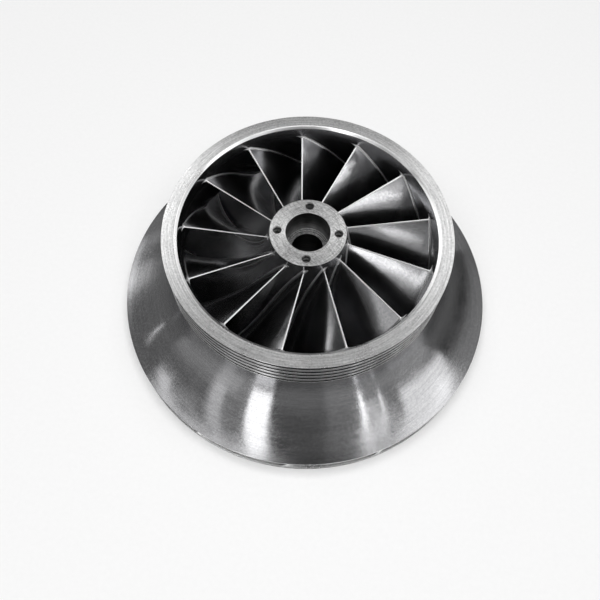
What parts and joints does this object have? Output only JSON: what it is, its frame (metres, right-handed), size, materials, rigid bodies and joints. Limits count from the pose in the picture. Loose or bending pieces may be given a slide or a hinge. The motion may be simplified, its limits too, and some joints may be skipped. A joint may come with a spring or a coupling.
{
  "type": "closed impeller",
  "caption": "Closed centrifugal impeller in machined steel: grooved eye ring, flared cover, curved blades, and a hub with a stepped bore and tapped holes in its nose.",
  "frame": {"origin": "centre of the back disc's face, on the axis of rotation", "axes": "+Z along the axis of rotation, from the back disc towards the eye; +X and +Y across it, with +Y towards the first tapped hole in the hub's nose"},
  "size_m": [0.284, 0.2842, 0.1],
  "materials": {
    "turned_steel": "turned, with fine concentric marks",
    "satin_steel": "satin, darker, with faint turning marks",
    "blade_steel": "milled, dark and smooth"
  },
  "bodies": {
    "root": {"hub": "turned_steel", "cover": "satin_steel", "eye_ring": "turned_steel", "blade_01": "blade_steel", "blade_02": "blade_steel", "blade_03": "blade_steel", "blade_04": "blade_steel", "blade_05": "blade_steel", "blade_06": "blade_steel", "blade_07": "blade_steel", "blade_08": "blade_steel", "blade_09": "blade_steel", "blade_10": "blade_steel", "blade_11": "blade_steel", "blade_12": "blade_steel", "blade_13": "blade_steel"}
  },
  "joints": []
}
